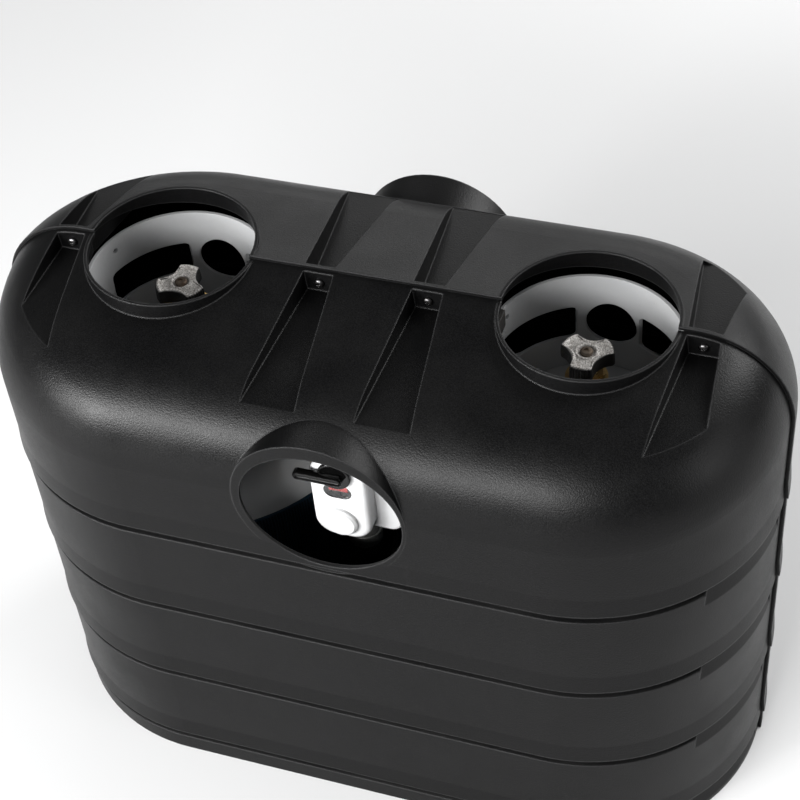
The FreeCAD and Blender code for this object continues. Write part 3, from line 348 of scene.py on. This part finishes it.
def make_finishes():
    return {
        "cover_plastic": cover_plastic(),
        "zinc_steel": steel("zinc_steel", (0.62, 0.62, 0.6), (0.36, 0.35, 0.33), 0.28),
        "black_screw": steel("black_screw", (0.12, 0.12, 0.125), (0.06, 0.055, 0.05), 0.22),
        "rack_paint": powder_coat(),
        "cylinder_paint": cylinder_paint(),
        "net_plastic": moulded("net_plastic", (0.002, 0.003, 0.005), (0.003, 0.004, 0.005), 0.6),
        "net_cord": moulded("net_cord", (0.005, 0.03, 0.055), (0.003, 0.014, 0.024), 0.5),
        "brass": brass(),
        "plug_plastic": moulded("plug_plastic", (0.012, 0.012, 0.012), (0.03, 0.028, 0.025), 0.4),
        "cast_aluminium": cast_aluminium(),
        "screw_steel": steel("screw_steel", (0.3, 0.25, 0.2), (0.1, 0.06, 0.04), 0.4),
        "gear_plastic": moulded("gear_plastic", (0.7, 0.68, 0.6), (0.5, 0.47, 0.4), 0.45),
        "float_foam": foam(),
        "white_plastic": moulded("white_plastic", (0.6, 0.605, 0.61), (0.5, 0.49, 0.48), 0.4, 420.0, 0.08),
        "casting": steel("casting", (0.42, 0.42, 0.41), (0.22, 0.22, 0.21), 0.5),
        "diaphragm_rubber": moulded("diaphragm_rubber", (0.02, 0.02, 0.02), (0.04, 0.04, 0.04), 0.7),
        "clear_lens": clear_lens(),
        "red_flag": moulded("red_flag", (0.5, 0.015, 0.012), (0.3, 0.01, 0.01), 0.45),
        "lever_plastic": moulded("lever_plastic", (0.0025, 0.0025, 0.0025), (0.006, 0.006, 0.006), 0.14,
                                 260.0, 0.02, Specular_IOR_Level=0.3),
    }


def finish_nodes(finishes):
    """Every carried-over CAD node gets the finish of its slot in the record."""
    slots = {part["node"]: part["material_slot"] for part in frame["record"]["subparts"]}
    for name, node in NODES.items():
        finish = finishes[slots[name]]
        if not node.material_slots:
            node.data.materials.append(finish)
        for place in node.material_slots:
            place.material = finish


# --------------------------------------------------------------- mesh helpers

def skin(name, strips, finish):
    """A piece made of closed skins, each a list of rings with the same number of points."""
    points = []
    faces = []
    for rings in strips:
        start = len(points)
        count = len(rings[0])
        for ring in rings:
            points.extend(ring)
        for row in range(len(rings) - 1):
            low = start + row * count
            for i in range(count):
                j = (i + 1) % count
                faces.append((low + i, low + j, low + count + j, low + count + i))
        last = start + (len(rings) - 1) * count
        faces.append(tuple(start + i for i in reversed(range(count))))
        faces.append(tuple(last + i for i in range(count)))
    mesh = bpy.data.meshes.new(name)
    mesh.from_pydata([tuple(point) for point in points], [], faces)
    mesh.validate()
    mesh.materials.append(finish)
    piece = bpy.data.objects.new(name, mesh)
    bpy.context.scene.collection.objects.link(piece)
    return piece


def smooth(piece, angle=35.0):
    """Smooth shading, with edges sharper than the angle left crisp."""
    mesh = piece.data
    mesh.polygons.foreach_set("use_smooth", [True] * len(mesh.polygons))
    mesh.set_sharp_from_angle(angle=math.radians(angle))
    return piece


def ring(radius, height, count, place=(0.0, 0.0, 0.0), turn=None):
    """A circle, or with a function for its radius a closed outline, about its own Z."""
    points = []
    for i in range(count):
        angle = 2 * math.pi * i / count
        size = radius(angle) if callable(radius) else radius
        point = Vector((size * math.cos(angle), size * math.sin(angle), height))
        points.append((turn @ point if turn else point) + Vector(place))
    return points


def lathe(profile, count, place, turn=None):
    return [ring(radius, height, count, place, turn) for radius, height in profile]


FRONT = Matrix.Rotation(math.radians(90), 3, "X")


def fit(piece, body, slot, *replaced):
    """The piece rides on a body and stands for CAD nodes. The slot argument is not used."""
    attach(piece, body)
    if replaced:
        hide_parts(*replaced)
    return piece


def centre(node):
    low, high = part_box(node)
    return (low + high) / 2


def half_width(node):
    low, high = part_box(node)
    return (high.x - low.x) / 2


# ------------------------------------------------------------------ the pieces

LOBE = 22.8 * MM
BITE_RADIUS = 19.5 * MM
BITE_CENTRE = 33.4 * MM
WHEEL_TURN = {"left": 30.0, "right": -30.0}


def lobed(turn, inset, ribs):
    """Radius of the handwheel's three-lobed outline, with grip ribs on the lobe ends."""
    def radius(angle):
        nearest = (math.degrees(angle) - turn + 60) % 120 - 60
        swing = math.radians(nearest)
        reach = BITE_CENTRE * math.sin(swing)
        size = LOBE
        if abs(reach) < BITE_RADIUS:
            bite = BITE_CENTRE * math.cos(swing) - math.sqrt(BITE_RADIUS ** 2 - reach ** 2)
            size = (LOBE ** -16 + bite ** -16) ** (-1 / 16)
        end = max(0.0, (size - 0.94 * LOBE) / (0.06 * LOBE))
        groove = ribs * end * (0.5 + 0.5 * math.cos(angle * 60))
        return size - inset - groove
    return radius


def round_to(outline, circle, share):
    return lambda angle: outline(angle) * (1 - share) + circle * share


def handwheel(side, finish):
    """Cast wheel: ribbed lobe ends, a rim, a sunk web and a raised hub around the screw."""
    node = side + "_handwheel"
    low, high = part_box(node)
    middle = centre(side + "_spindle")
    turn = WHEEL_TURN[side]
    tall = high.z - low.z
    count = 300

    def outline(inset, ribs=0.0):
        return lobed(turn, inset, ribs)

    profile = [
        (3.6 * MM, 0.6 * MM),
        (round_to(outline(6 * MM), 8 * MM, 0.5), 0.6 * MM),
        (outline(3.0 * MM), 0.2 * MM),
        (outline(1.4 * MM, 0.2 * MM), 0.0),
        (outline(0.4 * MM, 0.5 * MM), 0.7 * MM),
        (outline(0.0, 0.7 * MM), 2.0 * MM),
        (outline(0.1 * MM, 0.7 * MM), 0.5 * tall),
        (outline(0.5 * MM, 0.7 * MM), tall - 2.2 * MM),
        (outline(1.1 * MM, 0.5 * MM), tall - 0.9 * MM),
        (outline(2.1 * MM, 0.2 * MM), tall - 0.15 * MM),
        (outline(3.0 * MM), tall),
        (outline(3.8 * MM), tall - 0.3 * MM),
        (outline(4.6 * MM), tall - 1.0 * MM),
        (round_to(outline(4.8 * MM), 10.6 * MM, 0.8), tall - 1.1 * MM),
        (9.9 * MM, tall - 0.7 * MM),
        (9.2 * MM, tall - 0.25 * MM),
        (8.2 * MM, tall - 0.15 * MM),
        (7.2 * MM, tall - 0.7 * MM),
        (6.4 * MM, tall - 2.0 * MM),
        (5.9 * MM, tall - 2.5 * MM),
        (3.6 * MM, tall - 2.5 * MM),
    ]
    rings = lathe(profile, count, (middle.x, middle.y, low.z))
    piece = smooth(skin(side + "_cast_wheel", [rings], finish), 50)
    return fit(piece, side + "_wheel", "cast_aluminium", node)


def over_shoulder(z, wall, rim):
    """Radius of the cylinder at one height, wall or two-to-one end."""
    over = max(0.0, z - rim) / (wall / 2)
    return wall * math.sqrt(1.0 - over * over)


def net_rib(angle, wall, low, high, rim, place):
    """One upright cord of the sleeve, on the cylinder and over its shoulder."""
    half = 0.55 * MM
    proud = 0.55 * MM
    out = Vector((math.cos(angle), math.sin(angle), 0.0))
    along = Vector((-math.sin(angle), math.cos(angle), 0.0))
    heights = [low, rim - 0.1 * (rim - low)]
    heights += [rim + (high - rim) * share / 4 for share in range(5)]
    rings = []
    for z in heights:
        base = Vector((place.x, place.y, z)) + out * (over_shoulder(z, wall, rim) - 0.1 * MM)
        rings.append([base - along * half, base + along * half, base + along * half * 0.45 + out * proud,
                      base - along * half * 0.45 + out * proud])
    return rings


def net_ribs(side, finish):
    """Knitted sleeve: close upright cords on the dark sleeve, and a hem at each end."""
    low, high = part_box(side + "_net_sleeve")
    middle = (low + high) / 2
    wall = (high.x - low.x) / 2
    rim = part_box(side + "_upper_head")[1].z - (wall - 0.5 * MM) / 2
    count = 360
    strips = [net_rib(2 * math.pi * i / count, wall, low.z, high.z, rim, middle) for i in range(count)]
    for level in (low.z + 1.5 * MM, high.z - 1.5 * MM):
        radius = over_shoulder(level, wall, rim)
        hem = [(radius - 0.2 * MM, -1.4 * MM), (radius + 0.6 * MM, -1.1 * MM), (radius + 0.6 * MM, 1.1 * MM),
               (radius - 0.2 * MM, 1.4 * MM)]
        strips.append([[Vector((middle.x + r * math.cos(a), middle.y + r * math.sin(a), level + dz))
                        for r, dz in hem] for a in [2 * math.pi * i / 120 for i in range(121)]])
    piece = smooth(skin(side + "_net_ribs", strips, finish), 30)
    return fit(piece, "rack", "net_plastic")


def cross_recess(arm, half_slot):
    """Radius of a cross-shaped recess."""
    def radius(angle):
        nearest = abs((math.degrees(angle) + 45) % 90 - 45)
        across = math.sin(math.radians(nearest))
        return min(arm, half_slot / across) if across > 1e-4 else arm
    return radius


def seam_offsets():
    """Distances of the seam screws from the middle of the ridge, from the nuts behind them."""
    nut_points = [vertex.co.x for vertex in NODES["seam_nuts"].data.vertices if vertex.co.x > 0]
    middle = (min(nut_points) + max(nut_points)) / 2
    inner = [x for x in nut_points if x < middle]
    outer = [x for x in nut_points if x >= middle]
    return [(min(points) + max(points)) / 2 for points in (inner, outer)]


def seam_screws(finish):
    """Pan-head screws with a cross recess and a flat washer each."""
    low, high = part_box("seam_screws")
    head_back = -3.0 * MM
    shank_end = high.y
    height = (low.z + high.z) / 2
    count = 48
    strips = []
    for offset in seam_offsets():
        for side in (-1, 1):
            place = (side * offset, shank_end, height)
            deep = shank_end - head_back
            strips.append(lathe([
                (0.4 * MM, 0.0), (1.6 * MM, 0.2 * MM), (1.95 * MM, 1.0 * MM), (1.95 * MM, deep),
                (4.35 * MM, deep), (4.4 * MM, deep + 0.9 * MM), (4.15 * MM, deep + 1.5 * MM),
                (3.5 * MM, deep + 2.2 * MM), (2.6 * MM, deep + 2.7 * MM), (2.0 * MM, deep + 2.85 * MM),
                (cross_recess(1.75 * MM, 0.42 * MM), deep + 2.9 * MM),
                (cross_recess(1.5 * MM, 0.36 * MM), deep + 1.6 * MM), (0.2 * MM, deep + 1.2 * MM)],
                count, place, FRONT))
    piece = smooth(skin("seam_pan_screws", strips, finish), 40)
    return fit(piece, "cover", "black_screw", "seam_screws")


def outlet_plug(side, finish):
    """Ribbed push-in plug in the valve outlet."""
    node = side + "_outlet_plug"
    low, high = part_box(node)
    middle = centre(node)
    flange = (high.x - low.x) / 2
    back = high.y

    def ribbed(radius, depth):
        return lambda angle: radius - depth * (0.5 + 0.5 * math.cos(angle * 28))

    profile = [(7.5 * MM, 0.0), (8.4 * MM, 0.0), (8.6 * MM, 0.6 * MM), (8.6 * MM, 12.2 * MM),
               (flange - 1.0 * MM, 12.3 * MM), (ribbed(flange - 0.2 * MM, 0.6 * MM), 12.8 * MM),
               (ribbed(flange - 0.2 * MM, 0.6 * MM), 15.0 * MM), (flange - 1.4 * MM, 16.4 * MM),
               (flange - 3.0 * MM, 16.9 * MM), (flange - 4.5 * MM, 16.6 * MM), (flange - 5.5 * MM, 15.4 * MM),
               (6.0 * MM, 15.2 * MM), (5.0 * MM, 15.6 * MM), (1.0 * MM, 15.7 * MM)]
    rings = lathe(profile, 168, (middle.x, back, middle.z), FRONT)
    piece = smooth(skin(side + "_ribbed_plug", [rings], finish), 35)
    return fit(piece, side + "_cap", "plug_plastic", node)


def capsule(near, far, reach, inset, count):
    """Outline around two circles, one at the origin and one at x = -reach, on XZ."""
    lean = math.asin((near - far) / reach)
    points = []
    half = count // 2
    for i in range(half):
        angle = -math.pi / 2 - lean + (math.pi + 2 * lean) * i / (half - 1)
        points.append(((near - inset) * math.cos(angle), (near - inset) * math.sin(angle)))
    for i in range(half):
        angle = math.pi / 2 + lean + (math.pi - 2 * lean) * i / (half - 1)
        points.append((-reach + (far - inset) * math.cos(angle), (far - inset) * math.sin(angle)))
    return points


def changeover_lever(finish):
    """Glossy lever: a straight grip with a raised edge all round, over a round hub."""
    low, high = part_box("changeover_lever")
    pivot = centre("changeover_shaft")
    hub_radius = (high.z - low.z) / 2
    hub_depth = 3.7 * MM
    hub = lathe([(3.0 * MM, 0.0), (hub_radius - 0.5 * MM, 0.0), (hub_radius, 0.5 * MM),
                 (hub_radius, hub_depth - 1.1 * MM), (hub_radius - 0.5 * MM, hub_depth - 0.4 * MM),
                 (hub_radius - 1.4 * MM, hub_depth), (hub_radius - 2.4 * MM, hub_depth - 0.5 * MM),
                 (hub_radius - 6.0 * MM, hub_depth - 0.7 * MM), (1.0 * MM, hub_depth - 0.7 * MM)],
                96, (pivot.x, high.y, pivot.z), FRONT)
    half = 4.3 * MM
    start = 8.6 * MM
    reach = start + pivot.x - low.x - half - half
    grip_back = high.y - hub_depth + 0.8 * MM
    depth = grip_back - low.y
    levels = [(0.7, 0.0), (0.0, 0.08), (0.0, 0.74), (0.25, 0.9), (0.8, 1.0), (1.35, 0.93), (1.9, 0.72),
              (2.5, 0.66), (3.1, 0.66)]
    grip = []
    for inset, height in levels:
        grip.append([Vector((pivot.x + start - half + x, grip_back - height * depth, pivot.z + z))
                     for x, z in capsule(half, half, reach, inset * MM, 96)])
    piece = smooth(skin("glossy_lever", [hub, grip], finish), 60)
    return fit(piece, "lever", "lever_plastic", "changeover_lever")


def wing_nut(finish):
    """Cast wing nut: a turned hub with two rounded, upswept wings."""
    low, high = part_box("wing_nut")
    middle = centre("centre_rod")
    base = low.z
    hub = lathe([(4.9 * MM, 0.0), (8.6 * MM, 0.0), (9.0 * MM, 0.5 * MM), (8.6 * MM, 4.0 * MM),
                 (7.4 * MM, 9.0 * MM), (6.9 * MM, 10.6 * MM), (6.2 * MM, 11.0 * MM), (4.9 * MM, 11.0 * MM)],
                64, (middle.x, middle.y, base))
    strips = [hub]
    reach = (high.x - low.x) / 2
    top = high.z - base
    for side in (-1, 1):
        rings = []
        steps = 14
        for i in range(steps + 1):
            share = i / steps
            out = 6.0 * MM + (reach - 6.0 * MM) * share
            rise = 5.0 * MM + (top - 11.0 * MM) * share ** 1.3
            tall = (3.4 + 2.6 * math.sin(math.pi * (0.25 + 0.6 * share))) * MM
            thick = (2.4 - 0.9 * share) * MM
            close = math.sqrt(max(0.02, 1 - max(0.0, (share - 0.7) / 0.3) ** 2))
            rings.append([Vector((middle.x + side * out, middle.y + thick * close * math.cos(a),
                                  base + rise + tall * close * math.sin(a)))
                          for a in [2 * math.pi * k / 16 for k in range(16)]])
        strips.append(rings)
    piece = smooth(skin("cast_wing_nut", strips, finish), 50)
    return fit(piece, "wing_nut", "zinc_steel", "wing_nut")


def weld_bead(radius, height, place, start, sweep):
    """Rippled weld bead around part of a circle."""
    width = 2.2 * MM
    steps = max(12, int(sweep * radius / (0.8 * MM)))
    rings = []
    for i in range(steps + 1):
        angle = start + sweep * i / steps
        ends = math.sqrt(max(0.05, 1.0 - (2 * i / steps - 1) ** 8))
        size = width * ends * (1.0 + 0.14 * math.sin(i * 1.6) + 0.06 * math.sin(i * 0.37 + 1.3))
        rings.append([Vector((place.x + (radius + size * 0.8 * math.cos(b)) * math.cos(angle),
                              place.y + (radius + size * 0.8 * math.cos(b)) * math.sin(angle),
                              height + size * 0.5 * math.sin(b)))
                      for b in [2 * math.pi * k / 8 for k in range(8)]])
    return rings


def cylinder_welds(side, finish):
    """Welds of the valve boss, and stitches along the foot of the collar."""
    wall = half_width(side + "_upper_head")
    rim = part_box(side + "_upper_head")[1].z - wall / 2
    middle = centre(side + "_valve_boss")

    def dome(radius):
        return rim + math.sqrt(wall * wall - radius * radius) / 2

    boss = half_width(side + "_valve_boss")
    collar = half_width(side + "_collar")
    strips = [weld_bead(boss, dome(boss) + 0.4 * MM, middle, 0.0, 2 * math.pi)]
    for turn in (-30, 20, 70, 120, 170):
        start = math.radians(turn)
        strips.append(weld_bead(collar, dome(collar) + 0.6 * MM, middle, start, math.radians(22)))
    piece = smooth(skin(side + "_welds", strips, finish), 70)
    return fit(piece, "rack", "cylinder_paint")


def add_floor():
    size = 12.0
    mesh = bpy.data.meshes.new("floor")
    corners = [(-size, -size, 0.0), (size, -size, 0.0), (size, size, 0.0), (-size, size, 0.0)]
    mesh.from_pydata(corners, [], [(0, 1, 2, 3)])
    made = Finish("floor_paper", (0.72, 0.72, 0.72), 0.9)
    made.color(made.mixed(made.noise(1.5, 2.0), (0.71, 0.71, 0.71), (0.73, 0.73, 0.73)))
    mesh.materials.append(made.done())
    floor = bpy.data.objects.new("floor", mesh)
    bpy.context.scene.collection.objects.link(floor)


def build():
    add_camera()
    add_studio()
    add_floor()
    finishes = make_finishes()
    finish_nodes(finishes)
    for side in SIDES:
        handwheel(side, finishes["cast_aluminium"])
        net_ribs(side, finishes["net_cord"])
        cylinder_welds(side, finishes["cylinder_paint"])
        outlet_plug(side, finishes["plug_plastic"])
    seam_screws(finishes["black_screw"])
    changeover_lever(finishes["lever_plastic"])
    wing_nut(finishes["zinc_steel"])


build()
